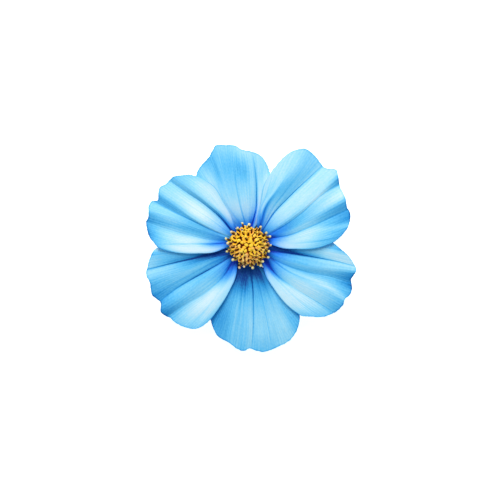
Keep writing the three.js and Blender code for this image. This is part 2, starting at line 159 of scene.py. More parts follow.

# each petal lies between lines that run from claw to rim, from its clockwise edge to the other:
# angles and drops below the petal's own surface, at even steps from claw to rim, and crisp from
# 0, rounded, to 1, sharply creased; a line may carry the depth of a cut along it, darkened with painted
# crease shade, and a thread is such a cut of its own; each flank between two lines has a tint, from 0, deep
# blue, up to the palest, and a share of violet that fades outwards; the tints hold the petal's own blue
# together with painted light and shade, paler on lit slopes and deeper in the shadows of the disc and of the
# petals above;
# a streak only changes the tint, in a band beside a line: painted shade where it darkens and painted light
# where it lightens
petals = {
    "petal_top": {
        "level": -0.8,
        "rim": [
            (72, 23.6), (76.2, 27.0), (79.1, 28.8), (82.9, 30.5), (88, 31.4), (94.6, 32.3), (97.2, 33.6),
            (103.2, 34.5), (108.3, 35.2), (110.5, 34.1), (114.9, 32.2), (121.7, 30.9), (127.1, 29.1),
            (131, 26.8),
        ],
        "lines": [
            {"angles": [78, 66, 65, 67.5, 72], "drop": [0.1, 0.6, 0.5], "crisp": 0},
            {"angles": [82, 73, 74, 77, 80], "drop": [0, 0.3, 0.3], "crisp": 0},
            {"angles": [84, 78.6, 81.8, 84.9, 88], "drop": [0.1, 0.8, 0.4], "crisp": 1,
             "shadedGroove": [0.1, 0.8, 0.75, 0.4, 0.05]},
            {"angles": [91, 88, 89, 90, 92], "drop": [0, 0, 0.1], "crisp": 0},
            {"angles": [97, 101.5, 101.8, 100, 98], "drop": [0.1, 0.3, 0.6], "crisp": 0.3,
             "shadedGroove": [0, 0.3, 0.2, 0.05, 0]},
            {"angles": [105, 112, 112, 110.5, 109.5], "drop": [0, 0, 0], "crisp": 0},
            {"angles": [118, 131, 130.5, 130, 131], "drop": [0.1, 0.9, 0.9], "crisp": 0},
        ],
        "tintsAndShade": [
            [0.42, 0.86, 0.97, 0.94, 0.62],
            [-0.35, 0.71, 0.86, 0.75, 0.77],
            [-0.25, 0.61, 0.77, 0.68, 0.84],
            [-0.18, 0.76, 0.7, 0.46, 0.84],
            [-0.15, 0.8, 0.67, 0.5, 0.71],
            [-0.22, 0.67, 0.79, 0.68, 0.48],
        ],
        "violet": [0.7, 1, 0.8, 0.55, 0.5, 0.6],
        "threads": [
            {"angles": [105, 116, 118, 116, 114], "shadedGroove": [0, 0.1, 0.12, 0, 0]},
        ],
        "streaks": [
            {"at": [5.5, 5.5, 5.5, 5.55, 5.6], "width": 1.6, "shade": [0, 0, -0.06, -0.16, -0.14]},
            {"at": [5.2, 5.2, 5.15, 5.15, 5.15], "width": 1.3, "shade": [0, 0, 0.04, 0.18, 0.06]},
            {"at": [0.6, 0.6, 0.5, 0.3, 0.3], "width": 1.0, "shade": [0, -0.1, -0.12, -0.08, 0]},
            {"at": [1.95, 1.93, 1.92, 1.95, 2], "width": 0.5, "shade": [0.1, 0.3, 0.32, 0.14, 0]},
        ],
    },
    "petal_upper_right": {
        "level": 0.8,
        "rim": [
            (1.9, 28), (5.4, 30.6), (10.1, 33.4), (15.2, 35.1), (18.2, 35.5), (22, 35.2), (26, 35.9),
            (32.9, 36.2), (37, 37.4), (41, 38.6), (44.6, 36.6), (47.5, 36.3), (52, 37), (59.4, 37.5),
            (62.5, 36.2), (66.2, 33.9), (69.9, 29.8), (73.1, 25.2),
        ],
        "lines": [
            {"angles": [12, -3, -3.8, -2.4, 1.9], "drop": [0, -0.35, -0.25], "crisp": 0},
            {"angles": [24, 14.8, 16.5, 18.8, 20.2], "drop": [0.1, 0.4, 0.5, 0.8, 1.1], "crisp": 0.8,
             "shadedGroove": [0, 0.3, 0.35, 0.25, 0.1]},
            {"angles": [28, 21, 23, 24.7, 25.6], "drop": [0, 0.1, -0.2], "crisp": 0.2},
            {"angles": [32, 29.5, 31.5, 34.6, 34.2], "drop": [0.1, 0.25, 0.3, 0.2, 0.9], "crisp": 0.4,
             "shadedGroove": [0, 0.25, 0.2, 0.2, 0.25]},
            {"angles": [36, 33.5, 34.3, 36.5, 37.8], "drop": [0, 0, -0.1], "crisp": 0.2},
            {"angles": [46, 52.2, 50.6, 48.6, 47.2], "drop": [0.1, 1.0, 0.9], "crisp": 0.9,
             "shadedGroove": [0.1, 1, 0.85, 0.5, 0.2]},
            {"angles": [54, 65.5, 62.5, 59.8, 60.3], "drop": [0, 0, 0], "crisp": 0.2},
            {"angles": [58, 72.6, 74.8, 76.3, 73.1], "drop": [0.1, 0.5, 0.6], "crisp": 0},
        ],
        "tintsAndShade": [
            [0, 0.76, 0.85, 0.56, 0.33],
            [-0.3, 0.47, 0.7, 0.48, 0.37],
            [0.1, 0.28, 0.5, 0.78, 0.84],
            [0.36, 0.47, 0.64, 0.88, 0.33],
            [-0.08, 0.74, 0.86, 0.85, 0.84],
            [0.2, 0.64, 0.51, 0.58, 0.63],
            [0.32, 0.73, 0.8, 0.84, 0.82],
        ],
        "violet": [0.95, 0.65, 0.7, 0.5, 0.4, 0.7, 0.7],
        "threads": [
            {"angles": [52, 70.2, 70.8, 71, 70.5], "shadedGroove": [0, 0.3, 0.15, 0, 0]},
            {"angles": [50, 57, 56.4, 55, 54], "shadedGroove": [0, 0.2, 0.1, 0.05, 0]},
            {"angles": [20, 4.5, 3.2, 4.2, 6], "shadedGroove": [0, 0, 0.15, 0.2, 0]},
        ],
        "streaks": [
            {"at": [6, 6, 6, 6, 6], "width": 0.6, "shade": [0.1, 0.54, 0.2, 0, 0]},
            {"at": [6.6, 6.6, 6.5, 6.5, 6.5], "width": 0.7, "shade": [0, -0.1, 0.08, 0.05, 0]},
            {"at": [5.2, 5.3, 5.3, 5.3, 5.3], "width": 0.5, "shade": [0, -0.14, -0.06, 0, 0]},
            {"at": [0.8, 0.8, 0.8, 0.82, 0.8], "width": 1.3, "shade": [0.3, 0.14, 0, 0.05, 0.15]},
            {"at": [0.9, 0.9, 0.85, 0.68, 0.54], "width": 0.8, "shade": [0, 0, -0.05, -0.16, -0.26]},
            {"at": [2.5, 2.5, 2.4, 2.3, 2.4], "width": 1.0, "shade": [0, 0, 0, -0.05, -0.12]},
        ],
    },
    "petal_lower_right": {
        "level": 0,
        "rim": [
            (-53.2, 29.2), (-49.1, 31.3), (-44.2, 34.1), (-40.8, 35.4), (-36.5, 36.6), (-32.2, 37.1),
            (-29, 36.7), (-26, 37.5), (-22.3, 37.2), (-18, 35.9), (-15.5, 36.4), (-12.8, 36.8),
            (-9, 35.2), (-5.5, 33.3), (-2, 30.6), (1.8, 28.2), (6.5, 25),
        ],
        "lines": [
            {"angles": [-45, -59.4, -59.6, -57.5, -53.2], "drop": [0, -0.22, -0.12], "crisp": 0},
            {"angles": [-39, -46, -42.8, -39.8, -38], "drop": [0.1, 0.5, 0.55, 0.6, 0.7], "crisp": 0.8,
             "shadedGroove": [0, 0.2, 0.1, 0.25, 0.1]},
            {"angles": [-34, -37, -34, -31.5, -30.5], "drop": [0, 0.1, 0], "crisp": 0},
            {"angles": [-28, -28, -24.7, -21, -20], "drop": [0.1, 0.45, 0.5, 0.8, 1.1], "crisp": 0.5,
             "shadedGroove": [0, 0.2, 0.2, 0.1, 0]},
            {"angles": [-20, -20.5, -18.5, -15.6, -13.4], "drop": [0, 0, -0.1], "crisp": 0.2},
            {"angles": [-13, -10.8, -10, -10, -11], "drop": [0.1, 0.5, 0.5, 0.35, 0.25], "crisp": 0.7,
             "shadedGroove": [0.1, 0.9, 0.8, 0.5, 0.2]},
            {"angles": [-9, -2, -2, -3.5, -5], "drop": [0.1, 0.15, 0.05, 0, 0], "crisp": 0},
            {"angles": [-8, 7, 7, 6, 6.5], "drop": [0.1, 0.55, 0.75, 0.7, 0.6], "crisp": 0},
        ],
        "tintsAndShade": [
            [-0.2, 0.61, 0.9, 0.89, 0.53],
            [-0.25, 0.44, 0.86, 0.77, 0.38],
            [-0.3, 0.46, 0.66, 0.7, 0.38],
            [-0.12, 0.45, 0.55, 0.58, 0.23],
            [-0.05, 0.38, 0.55, 0.75, 0.77],
            [0, 0.12, 0.54, 0.82, 0.87],
            [0, 0.05, 0.35, 0.74, 0.54],
        ],
        "violet": [0.9, 0.7, 0.5, 0.45, 0.75, 0.2, 0],
        "threads": [
            {"angles": [-40, -50, -49, -47, -45.5], "shadedGroove": [0, 0.1, 0.12, 0.12, 0]},
            {"angles": [-24, -33, -31, -27, -25.5], "shadedGroove": [0, 0.2, 0.12, 0.06, 0]},
        ],
        "streaks": [
            {"at": [2.4, 2.5, 2.5, 2.38, 2.13], "width": 0.9, "shade": [0, 0, -0.12, -0.2, -0.28]},
            {"at": [2.85, 2.85, 2.85, 2.85, 2.85], "width": 1.0, "shade": [0, 0, 0.06, 0.12, 0.2]},
            {"at": [0.95, 0.92, 0.95, 1, 1], "width": 0.75, "shade": [0.2, 0.38, 0.08, 0, 0]},
            {"at": [5.15, 5.2, 5.2, 5.2, 5.2], "width": 0.7, "shade": [0.2, 0.3, 0.25, 0, 0]},
            {"at": [3.2, 3.2, 3.25, 3.3, 3.3], "width": 0.8, "shade": [0, 0.05, 0.05, 0.06, 0.03]},
            {"at": [6.2, 6.2, 6.2, 6.2, 6.2], "width": 1.0, "shade": [0, 0, 0, 0.08, 0.2]},
        ],
    },
    "petal_bottom": {
        "level": -0.85,
        "rim": [
            (238.5, 24.6), (243.1, 27.9), (249.8, 31.4), (253.2, 32.3), (257.9, 32.9), (264.7, 34.9),
            (267.4, 35.1), (270.5, 34.3), (274.5, 35.2), (278.2, 35.8), (287.3, 35.0), (292.9, 34.5),
            (297.7, 33.2), (302.1, 31.3), (306.2, 28.8), (309.5, 25.6),
        ],
        "lines": [
            {"angles": [254.6, 241, 240.5, 239, 238.5], "drop": [0.1, 0.45, 0.45], "crisp": 0},
            {"angles": [262, 255, 256, 257, 258], "drop": [0, 0, 0], "crisp": 0},
            {"angles": [267, 265.5, 265.8, 265.5, 264.5], "drop": [0, 0.2, 0.2], "crisp": 0.3,
             "shadedGroove": [0, 0.1, 0.1, 0.06, 0]},
            {"angles": [270, 270.3, 270, 269.5, 268], "drop": [0, 0, 0], "crisp": 0},
            {"angles": [274.6, 275.6, 274.4, 273.3, 271.8], "drop": [0.1, 0.45, 0.4], "crisp": 1,
             "shadedGroove": [0.1, 0.6, 0.6, 0.4, 0]},
            {"angles": [279, 281.5, 281, 280, 278.5], "drop": [0, 0, 0], "crisp": 0},
            {"angles": [283.5, 288, 288, 287, 286.5], "drop": [0, 0.25, 0.35], "crisp": 0.2},
            {"angles": [288, 295, 296, 297, 298], "drop": [0, 0, 0], "crisp": 0},
            {"angles": [294.6, 305, 306.5, 307.5, 309.5], "drop": [0.1, 0.45, 0.45], "crisp": 0},
        ],
        "tintsAndShade": [
            [0, 0.04, 0.38, 0.36, 0.38],
            [0.05, 0.05, 0.54, 0.6, 0.58],
            [-0.15, 0.08, 0.54, 0.62, 0.48],
            [-0.3, 0.18, 0.58, 0.74, 0.64],
            [-0.4, 0.2, 0.55, 0.67, 0.49],
            [-0.4, 0.15, 0.54, 0.69, 0.55],
            [-0.25, 0.06, 0.58, 0.73, 0.69],
            [0, 0.16, 0.46, 0.52, 0.44],
        ],
        "violet": [0, 0, 0, 0, 0, 0, 0, 0],
        "threads": [
            {"angles": [265, 260.5, 261.5, 261.5, 261], "shadedGroove": [0, 0.05, 0.12, 0.08, 0]},
            {"angles": [281, 284.5, 284, 283.5, 282.5], "shadedGroove": [0, 0.05, 0.1, 0.1, 0]},
            {"angles": [288, 292, 292, 292, 292], "shadedGroove": [0, 0.05, 0.1, 0, 0]},
        ],
        "streaks": [
            {"at": [0.3, 0.3, 0.28, 0.26, 0.26], "width": 1.6, "shade": [0, 0.05, 0.14, 0.2, 0.18]},
            {"at": [7.7, 7.7, 7.7, 7.7, 7.7], "width": 1.0, "shade": [0, 0, 0.08, 0.1, 0.12]},
            {"at": [4.5, 4.5, 4.6, 4.6, 4.5], "width": 1.2, "shade": [0, 0, 0, -0.05, -0.05]},
        ],
    },
    "petal_lower_left": {
        "level": 0,
        "rim": [
            (178, 27), (182.1, 31.1), (187.2, 33.2), (191.9, 34.5), (195.4, 35.5), (200.7, 35.2),
            (204.4, 35.8), (207, 36.2), (210.2, 35.4), (213.5, 35), (217, 36.7), (222.6, 35.6),
            (226.8, 35.4), (232.5, 34.4), (236.7, 33.2), (239.3, 31.7), (241, 29.9), (242.5, 27.8),
        ],
        "lines": [
            {"angles": [194, 182, 179, 177, 178], "drop": [0.1, 0.6, 0.75, 0.7, 0.6], "crisp": 0},
            {"angles": [196, 186, 185, 185.5, 186], "drop": [0.1, 0.2, 0.05, 0, 0], "crisp": 0},
            {"angles": [201, 193.6, 192.8, 193, 193.2], "drop": [0.1, 0.5, 0.5, 0.4, 0.35], "crisp": 0.7,
             "shadedGroove": [0.1, 0.7, 0.75, 0.6, 0.4]},
            {"angles": [204, 200, 201, 200, 199.5], "drop": [0, 0.1, 0], "crisp": 0},
            {"angles": [211, 211.5, 210.7, 210.6, 212], "drop": [0.1, 0.7, 0.8], "crisp": 0.8,
             "shadedGroove": [0.1, 0.35, 0.35, 0.25, 0.1]},
            {"angles": [216, 218, 217.5, 217.5, 216.2], "drop": [0, 0.1, -0.1], "crisp": 0.1},
            {"angles": [221, 230, 228, 223.3, 221.2], "drop": [0.1, 0.5, 0.55, 0.7, 1.1], "crisp": 0.7,
             "shadedGroove": [0, 0.2, 0.15, 0.1, 0]},
            {"angles": [232, 246.4, 246.9, 244.8, 242.6], "drop": [0, -0.22, -0.12], "crisp": 0},
        ],
        "tintsAndShade": [
            [0, 0.1, 0.45, 0.67, 1.02],
            [0, 0.16, 0.46, 0.53, 0.73],
            [0, 0.18, 0.43, 0.61, 0.67],
            [0, 0.38, 0.58, 0.57, 0.36],
            [0, 0.46, 0.54, 0.57, 0.3],
            [0.22, 0.44, 0.64, 0.52, 0.22],
            [0, 0.76, 0.89, 0.88, 0.59],
        ],
        "violet": [0, 0, 0.1, 0.2, 0.35, 0.6, 0.75],
        "threads": [
            {"angles": [208, 205, 206, 206.5, 207], "shadedGroove": [0, 0.15, 0.1, 0.1, 0]},
            {"angles": [226, 238, 237.5, 236, 234], "shadedGroove": [0, 0, 0.1, 0.12, 0]},
        ],
        "streaks": [
            {"at": [6.2, 6.25, 6.25, 6.3, 6.3], "width": 1.4, "shade": [0.2, 0.46, 0, 0, 0]},
            {"at": [3.95, 3.95, 3.95, 3.95, 3.95], "width": 0.5, "shade": [0, 0.12, 0.16, 0.1, 0]},
            {"at": [6.92, 6.92, 6.92, 6.92, 6.92], "width": 1.2, "shade": [0, 0.08, 0.1, 0.14, 0.12]},
            {"at": [6.35, 6.35, 6.35, 6.4, 6.4], "width": 1.6, "shade": [0, 0, -0.12, -0.05, 0]},
            {"at": [3.8, 3.8, 3.8, 3.75, 3.7], "width": 1.1, "shade": [0, 0.05, 0.12, 0.1, 0.16]},
            {"at": [2.2, 2.2, 2.3, 2.3, 2.3], "width": 1.0, "shade": [0.1, 0.2, 0.16, -0.05, -0.1]},
            {"at": [1.7, 1.7, 1.75, 1.8, 1.8], "width": 0.8, "shade": [0, 0.15, 0.2, 0.15, 0]},
            {"at": [0.9, 0.9, 0.9, 0.85, 0.85], "width": 1.1, "shade": [0, 0, 0, 0.12, 0.5]},
        ],
    },
    "petal_upper_left": {
        "level": 0.8,
        "rim": [
            (127, 28.7), (129.9, 30.8), (133.5, 32.3), (137.8, 34.1), (143.3, 34.4), (146.5, 35.4),
            (149.2, 35), (153.3, 33.9), (155.4, 35.5), (158.5, 35.8), (164, 34.8), (167, 35.1),
            (170.7, 34.4), (175.5, 33), (179, 31.2), (181.5, 30.2),
        ],
        "lines": [
            {"angles": [134, 121.2, 119.7, 120.1, 127], "drop": [0.1, 0.5, 0.5], "crisp": 0},
            {"angles": [140, 131.8, 133.2, 135.6, 137.3], "drop": [0, -0.1, 0], "crisp": 0.1},
            {"angles": [144, 135.8, 136.6, 139.2, 140.6], "drop": [0.1, 0.95, 0.6], "crisp": 0.9,
             "shadedGroove": [0.2, 0.5, 0.3, 0.15, 0]},
            {"angles": [153, 154.8, 153.9, 151.2, 149.8], "drop": [0, -0.1, -0.1], "crisp": 0.2},
            {"angles": [156, 157.2, 156, 155.6, 155], "drop": [0.1, 0.2, 0.25, 0.55, 0.9], "crisp": 0.5,
             "shadedGroove": [0, 0.4, 0.4, 0.2, 0]},
            {"angles": [159, 160.5, 160.8, 160.5, 161.3], "drop": [0, 0.1, 0], "crisp": 0.1},
            {"angles": [166, 171, 170, 168.5, 166.7], "drop": [0.1, 0.45, 0.5, 0.75, 1.0], "crisp": 0.6,
             "shadedGroove": [0, 0.15, 0.1, 0.1, 0]},
            {"angles": [178, 190, 188.5, 185.6, 181.5], "drop": [0, -0.35, -0.25], "crisp": 0},
        ],
        "tintsAndShade": [
            [-0.15, 0.81, 0.83, 0.82, 0.6],
            [0, 0.22, 0.48, 0.56, 0.52],
            [0.1, 0.64, 0.9, 0.8, 0.72],
            [0.6, 0.62, 0.54, 0.44, 0.39],
            [0.58, 0.48, 0.5, 0.7, 0.67],
            [0.1, 0.43, 0.51, 0.6, 0.4],
            [0.2, 0.79, 0.92, 0.79, 0.32],
        ],
        "violet": [0.85, 0.4, 0.6, 0.3, 0.3, 0.35, 0.85],
        "threads": [
            {"angles": [170, 177, 178.3, 179, 179.5], "shadedGroove": [0, 0.3, 0.25, 0.15, 0]},
            {"angles": [150, 146, 146, 146, 145.5], "shadedGroove": [0, 0.1, 0.12, 0.1, 0]},
        ],
        "streaks": [
            {"at": [2.5, 2.53, 2.53, 2.5, 2.5], "width": 1.2, "shade": [0, -0.08, -0.2, -0.1, 0]},
            {"at": [6.3, 6.35, 6.4, 6.4, 6.4], "width": 1.1, "shade": [0.1, 0.38, 0, 0, 0]},
            {"at": [6.7, 6.7, 6.75, 6.8, 6.85], "width": 1.0, "shade": [0, -0.05, -0.12, -0.14, -0.1]},
            {"at": [6.2, 6.2, 6.25, 6.3, 6.4], "width": 1.2, "shade": [0, 0, -0.06, 0, 0.1]},
            {"at": [5.15, 5.2, 5.3, 5.6, 5.8], "width": 0.8, "shade": [0, 0.05, 0.1, 0.08, 0.12]},
            {"at": [0.35, 0.4, 0.4, 0.4, 0.4], "width": 1.4, "shade": [0, 0, -0.1, -0.08, 0]},
            {"at": [0.8, 0.85, 0.9, 0.9, 0.9], "width": 0.8, "shade": [0.1, 0.15, 0, 0, 0]},
        ],
    },
}


def petalSurface(radius):
    climb = clamp((radius - petalForm["clawRadius"]) / petalForm["riseLength"])
    fall = max(0, radius - petalForm["crestRadius"]) / (petalForm["reach"] - petalForm["crestRadius"])
    rise = petalForm["rise"] * (1 - (1 - climb) ** 2)
    return petalForm["clawHeight"] + rise - petalForm["rimFall"] * fall ** 2


def foldShare(t, crispA, crispB):
    start, end = petalForm["creaseSlope"] * crispA, petalForm["creaseSlope"] * crispB
    return ease(t) + start * t * (1 - t) ** 2 - end * t * t * (1 - t)


def petalColumn(values, column, stops):
    # which flank a column of points lies on, how far across it, and where the column meets the rim
    lines = values["lines"]
    panel = max(i for i in range(len(lines) - 1) if stops[i] <= column)
    across = (column - stops[panel]) / (stops[panel + 1] - stops[panel])
    rimAngle = blend(lines[panel]["angles"][-1], lines[panel + 1]["angles"][-1], across)
    ragged = petalForm["rimRagged"] * noise.noise((rimAngle * petalForm["raggedPerDegree"], 0, 3))
    share = foldShare(across, lines[panel]["crisp"], lines[panel + 1]["crisp"])
    return panel, across, share, curveThrough(values["rim"], rimAngle), ragged


def petalRow(values, along):
    # every line's angle and drop, every flank's tint with its painted light and shade, and the place of
    # every cut and painted band at one step to the rim
    lines = [(curveEven(line["angles"], along), curveEven(line["drop"], along)) for line in values["lines"]]
    tintsAndShade = [curveEven(tint, along) for tint in values["tintsAndShade"]]
    shadeBands = [
        (curveEven(shadedGroove["angles"], along), curveEven(shadedGroove["shadedGroove"], along), petalForm["grooveWidth"], 1)
        for shadedGroove in values["lines"] + values["threads"] if "shadedGroove" in shadedGroove
    ]
    for streak in values["streaks"]:
        # a streak, painted shade where it darkens and painted light where it lightens, lies at a line's
        # number and the share of the way to the next line
        at = curveEven(streak["at"], along)
        line = min(int(at), len(lines) - 2)
        angle = blend(lines[line][0], lines[line + 1][0], at - line)
        shadeBands.append((angle, curveEven(streak["shade"], along), streak["width"], 0))
    return lines, tintsAndShade, shadeBands


def beside(values, panel, across, share):
    # a flank's own value, softened towards its neighbour's near the line between them
    neighbour = panel - 1 if across < 0.5 else panel + 1
    neighbour = int(clamp(neighbour, 0, len(values) - 1))
    return blend(values[panel], values[neighbour], share)


def makePetal(name, values):
    columns, rows = petalForm["columns"], petalForm["rows"]
    rimAngles = [line["angles"][-1] for line in values["lines"]]
    wholeSpan = rimAngles[-1] - rimAngles[0]
    stops = [round(columns * (angle - rimAngles[0]) / wholeSpan) for angle in rimAngles]
    columnFacts = [petalColumn(values, column, stops) for column in range(columns + 1)]
    rowFacts = [petalRow(values, row / rows) for row in range(rows + 1)]
    deselectAll()
    bpy.ops.mesh.primitive_grid_add(x_subdivisions=columns, y_subdivisions=rows, size=1, calc_uvs=True)
    piece = bpy.context.active_object
    piece.name = name + "_blade"
    mesh = piece.data
    mesh.name = piece.name
    tone = mesh.attributes.new("tone", "FLOAT", "POINT")
    violet = mesh.attributes.new("violet", "FLOAT", "POINT")
    for vertex in mesh.vertices:
        column = round((vertex.co.x + 0.5) * columns)
        row = round((vertex.co.y + 0.5) * rows)
        along = row / rows
        panel, across, share, rimRadius, ragged = columnFacts[column]
        lines, tintsAndShade, shadeBands = rowFacts[row]
        (angleA, dropA), (angleB, dropB) = lines[panel], lines[panel + 1]
        angle = blend(angleA, angleB, across)
        radius = blend(petalForm["clawRadius"], rimRadius, along) + ragged * along ** 6
        turn = math.radians(angle)
        x, y = radius * math.cos(turn), radius * math.sin(turn)
        fromClaw = radius - petalForm["clawRadius"]
        layer = ease(fromClaw / (petalForm["layeredFrom"] - petalForm["clawRadius"]))
        height = petalSurface(radius) + values["level"] * layer - blend(dropA, dropB, share)
        wander = noise.noise((column * petalForm["wanderPerColumn"], along * 2, values["level"]))
        place = column / columns + petalForm["veinWander"] * wander
        vein = math.cos(tau * petalForm["veins"] * place) * ease(along * 3)
        ripple = noise.noise((x / petalForm["rippleSize"], y / petalForm["rippleSize"], values["level"] * 7))
        height += petalForm["veinHeight"] * vein + petalForm["ripple"] * ripple * ease(along * 2)
        near = 0.5 - 0.5 * ease(min(across, 1 - across) / petalForm["tintEdge"])
        # the flank's tint holds the petal's own blue together with painted light and shade
        pale = beside(tintsAndShade, panel, across, near) + petalForm["veinTint"] * vein
        # cuts darken the blade along their line as painted crease shade, and streaks lay bands of painted
        # shade and painted light without a cut
        for bandAngle, dark, width, cut in shadeBands:
            distance = radius * math.radians(bandAngle - angle) / width
            if dark and abs(distance) < 3:
                groove = dark * math.exp(-distance * distance)
                pale -= groove
                height -= petalForm["grooveDepth"] * groove * cut
        # painted shade: a narrow darker band along the rim and the side margins
        toMargin = radius * math.radians(min(angle - lines[0][0], lines[-1][0] - angle))
        toEdge = min(rimRadius - radius, toMargin)
        pale -= petalForm["rimShade"] * math.exp(-(toEdge / petalForm["rimWidth"]) ** 2)
        vertex.co = ((axisX + x) * mm, (axisY + y) * mm, height * mm)
        tone.data[vertex.index].value = clamp(pale / petalForm["palest"])
        fade = 1 - ease((radius - petalForm["violetWithin"]) / petalForm["violetFade"])
        violet.data[vertex.index].value = beside(values["violet"], panel, across, near) * fade
    mesh.update()
    wall = piece.modifiers.new("wall", "SOLIDIFY")
    wall.thickness = petalForm["thickness"] * mm
    wall.offset = -1
    applyModifiers(piece)
    return piece


petalTints = {
    "blue": [
        (5, 64, 148), (44, 153, 219), (104, 198, 242), (161, 223, 247), (216, 239, 247), (246, 248, 250),
    ],
    "violet": [
        (2, 48, 196), (36, 126, 255), (92, 168, 255), (166, 208, 254), (218, 232, 252), (246, 247, 251),
    ],
    "streaks": (64, 3),
    "streakDepth": 0.21,
    "grain": (96, 40),
    "grainDepth": 0.16,
    "glowShare": 0.15,
    "roughness": 0.6,
    "specular": 0.14,
}


def noiseShift(material, uv, scale, depth, detail, before):
    # adds a noise of the given scale across and along the blade to a tone
    nodes, links = material.node_tree.nodes, material.node_tree.links
    stretch = nodes.new("ShaderNodeMapping")
    stretch.inputs["Scale"].default_value = (*scale, 1)
    links.new(uv.outputs["UV"], stretch.inputs["Vector"])
    pattern = nodes.new("ShaderNodeTexNoise")
    pattern.inputs["Scale"].default_value = 1
    pattern.inputs["Detail"].default_value = detail
    links.new(stretch.outputs["Vector"], pattern.inputs["Vector"])
    shift = nodes.new("ShaderNodeMath")
    shift.operation = "MULTIPLY_ADD"
    shift.inputs[1].default_value = depth
    shift.inputs[2].default_value = -depth / 2
    links.new(pattern.outputs["Fac"], shift.inputs[0])
    add = nodes.new("ShaderNodeMath")
    links.new(before, add.inputs[0])
    links.new(shift.outputs[0], add.inputs[1])
    return add.outputs[0]


def petalMaterial():
    material = bpy.data.materials.new("blue petal")
    material.use_nodes = True
    nodes, links = material.node_tree.nodes, material.node_tree.links
    nodes.clear()
    output = nodes.new("ShaderNodeOutputMaterial")
    mix = nodes.new("ShaderNodeMixShader")
    mix.inputs["Fac"].default_value = petalTints["glowShare"]
    skin = nodes.new("ShaderNodeBsdfPrincipled")
    skin.inputs["Roughness"].default_value = petalTints["roughness"]
    skin.inputs["Specular IOR Level"].default_value = petalTints["specular"]
    glow = nodes.new("ShaderNodeBsdfTranslucent")
    uv = nodes.new("ShaderNodeUVMap")
    uv.uv_map = "UVMap"
    tone = attributeOf(nodes, "tone")
    paleness = noiseShift(material, uv, petalTints["streaks"], petalTints["streakDepth"], 3, tone)
    paleness = noiseShift(material, uv, petalTints["grain"], petalTints["grainDepth"], 1, paleness)
    both = nodes.new("ShaderNodeMix")
    both.data_type = "RGBA"
    links.new(attributeOf(nodes, "violet"), both.inputs[0])
    for socket, shades in ((6, petalTints["blue"]), (7, petalTints["violet"])):
        links.new(shadeRamp(material, paleness, shades), both.inputs[socket])
    links.new(both.outputs[2], skin.inputs["Base Color"])
    links.new(both.outputs[2], glow.inputs["Color"])
    links.new(skin.outputs[0], mix.inputs[1])
    links.new(glow.outputs[0], mix.inputs[2])
    links.new(mix.outputs[0], output.inputs["Surface"])
    return material


bluePetal = petalMaterial()
for petalName, petalValues in petals.items():
    blade = makePetal(petalName, petalValues)
    dress(blade, bluePetal)
    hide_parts(petalName)
    pickOnly(blade)
    bpy.ops.object.shade_smooth_by_angle(angle=math.radians(petalForm["smoothBelow"]))
print("petals made")


discForm = {
    "florets": 66,
    "goldenAngle": 137.508,
    "spread": 6.0,
    "lean": 58,
    "domeTop": 10.9,
    "domeEdge": 9.0,
    "domeRadius": 5.8,
    "coreRadius": 5.5,
    "coreRings": 8,
    "neckRadius": 3.9,
    "neckBase": 5.25,
    "budsWithin": 0.3,
    "openBeyond": 0.62,
    "openShare": 0.45,
    "rimBeyond": 0.84,
    "stray": 0.13,
    "leanStray": 8,
    "width": (1.0, 1.35),
    "depth": (0.85, 1),
    "height": (0.9, 1.15),
    "warmSpread": 1.3,
    "warmShift": 0.45,
    "warmBelow": 0.5,
    "rimSunk": 0.35,
    "columnLean": (58, 16),
    "columnTurn": 18,
    "columnLength": 1.2,
    "rimColumn": {"base": 0.5, "stretch": (1.05, 1.3), "girth": (1.3, 1.5)},
    "innerColumn": {"base": 0.25, "stretch": (1.1, 1.4), "girth": (1.0, 1.2)},
    "rimKnob": (0.95, 1.15),
    "innerKnob": (0.6, 0.85),
    "knobShare": 0.5,
    "smoothBelow": 48,
    "seed": 5,
}


def discFloor(radius):
    return blend(discForm["domeTop"], discForm["domeEdge"], (radius / discForm["domeRadius"]) ** 2)


def growRings(steps):
    # every ring stands a step above the one before and is scaled against it
    for up, scale in steps:
        bpy.ops.mesh.extrude_region_move(TRANSFORM_OT_translate={"value": (0, 0, up * mm)})
        bpy.ops.transform.resize(value=(scale, scale, 1), center_override=(0, 0, 0))


def startRing(name, sides, radius, height, fill="NOTHING"):
    deselectAll()
    base = (0, 0, height * mm)
    bpy.ops.mesh.primitive_circle_add(vertices=sides, radius=radius * mm, fill_type=fill, location=base)
    piece = bpy.context.active_object
    piece.name = name
    bpy.ops.object.transform_apply(location=True, rotation=True, scale=True)
    bpy.ops.object.mode_set(mode="EDIT")
    bpy.ops.mesh.select_mode(type="VERT")
    bpy.ops.mesh.select_all(action="SELECT")
    return piece


def finishRings():
    bpy.ops.mesh.select_all(action="SELECT")
    bpy.ops.mesh.normals_make_consistent(inside=False)
    bpy.ops.object.mode_set(mode="OBJECT")


def closeTop():
    bpy.ops.mesh.edge_face_add()
    finishRings()


def makeCore():
    radius, rings = discForm["coreRadius"], discForm["coreRings"]
    piece = startRing("disc_core", 40, discForm["neckRadius"], discForm["neckBase"], "NGON")
    growRings([(1.65, 1), (1.2, radius / discForm["neckRadius"]), (0.7, 1)])
    for ring in range(1, rings):
        inner, outer = radius * (1 - ring / rings), radius * (1 - (ring - 1) / rings)
        growRings([(discFloor(inner) - discFloor(outer), inner / outer)])
    bpy.ops.mesh.merge(type="CENTER")
    finishRings()
    # painted shade: the disc floor darkens low at its edge, where the gaps between the florets lie
    markRise(piece, 9.2, 10.6)
    return piece


def lobed(piece, fromHeight, between, drop):
    # pulls in every other point of the rings above a height, so that pointed lobes stand between them
    for vertex in piece.data.vertices:
        if vertex.co.z < fromHeight * mm:
            continue
        if round(math.atan2(vertex.co.y, vertex.co.x) / tau * 10) % 2:
            vertex.co.x *= between
            vertex.co.y *= between
            vertex.co.z -= drop * mm


